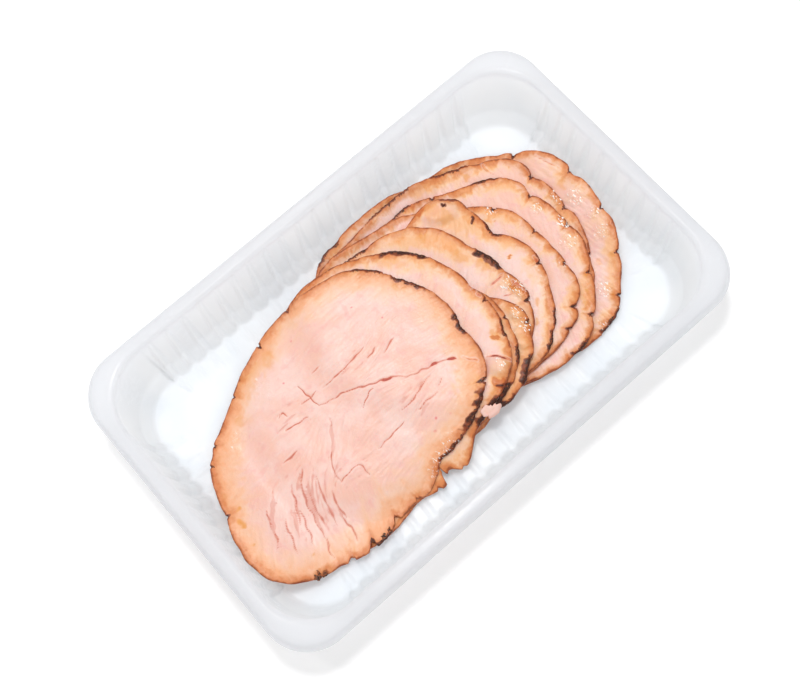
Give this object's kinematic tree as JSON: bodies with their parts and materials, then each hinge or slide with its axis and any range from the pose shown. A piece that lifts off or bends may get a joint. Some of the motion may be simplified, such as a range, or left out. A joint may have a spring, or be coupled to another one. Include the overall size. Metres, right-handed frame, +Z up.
{
  "type": "tray of sliced turkey ham",
  "caption": "Thin roast turkey ham slices fanned along an open, fluted, translucent plastic tray with a flat rim.",
  "frame": {"origin": "centre of the tray's underside, on the plane that it rests on", "axes": "+X along the tray's long side, towards the end where the lowest slice lies; +Y across it; +Z up"},
  "size_m": [0.23, 0.144, 0.035],
  "materials": {
    "tray_plastic": "translucent frosted thermoformed plastic, glossy inside",
    "ham_meat": "moist pale pink cooked meat with a browned, netted rim",
    "pale_meat": "moist, very pale pink cooked meat"
  },
  "bodies": {
    "root": {"tray": "tray_plastic", "slice_01": "ham_meat", "slice_02": "ham_meat", "slice_03": "ham_meat", "slice_04": "ham_meat", "slice_05": "ham_meat", "slice_06": "ham_meat", "slice_07": "ham_meat", "slice_08": "ham_meat", "slice_09": "ham_meat", "slice_10": "ham_meat", "scrap": "pale_meat"}
  },
  "joints": []
}
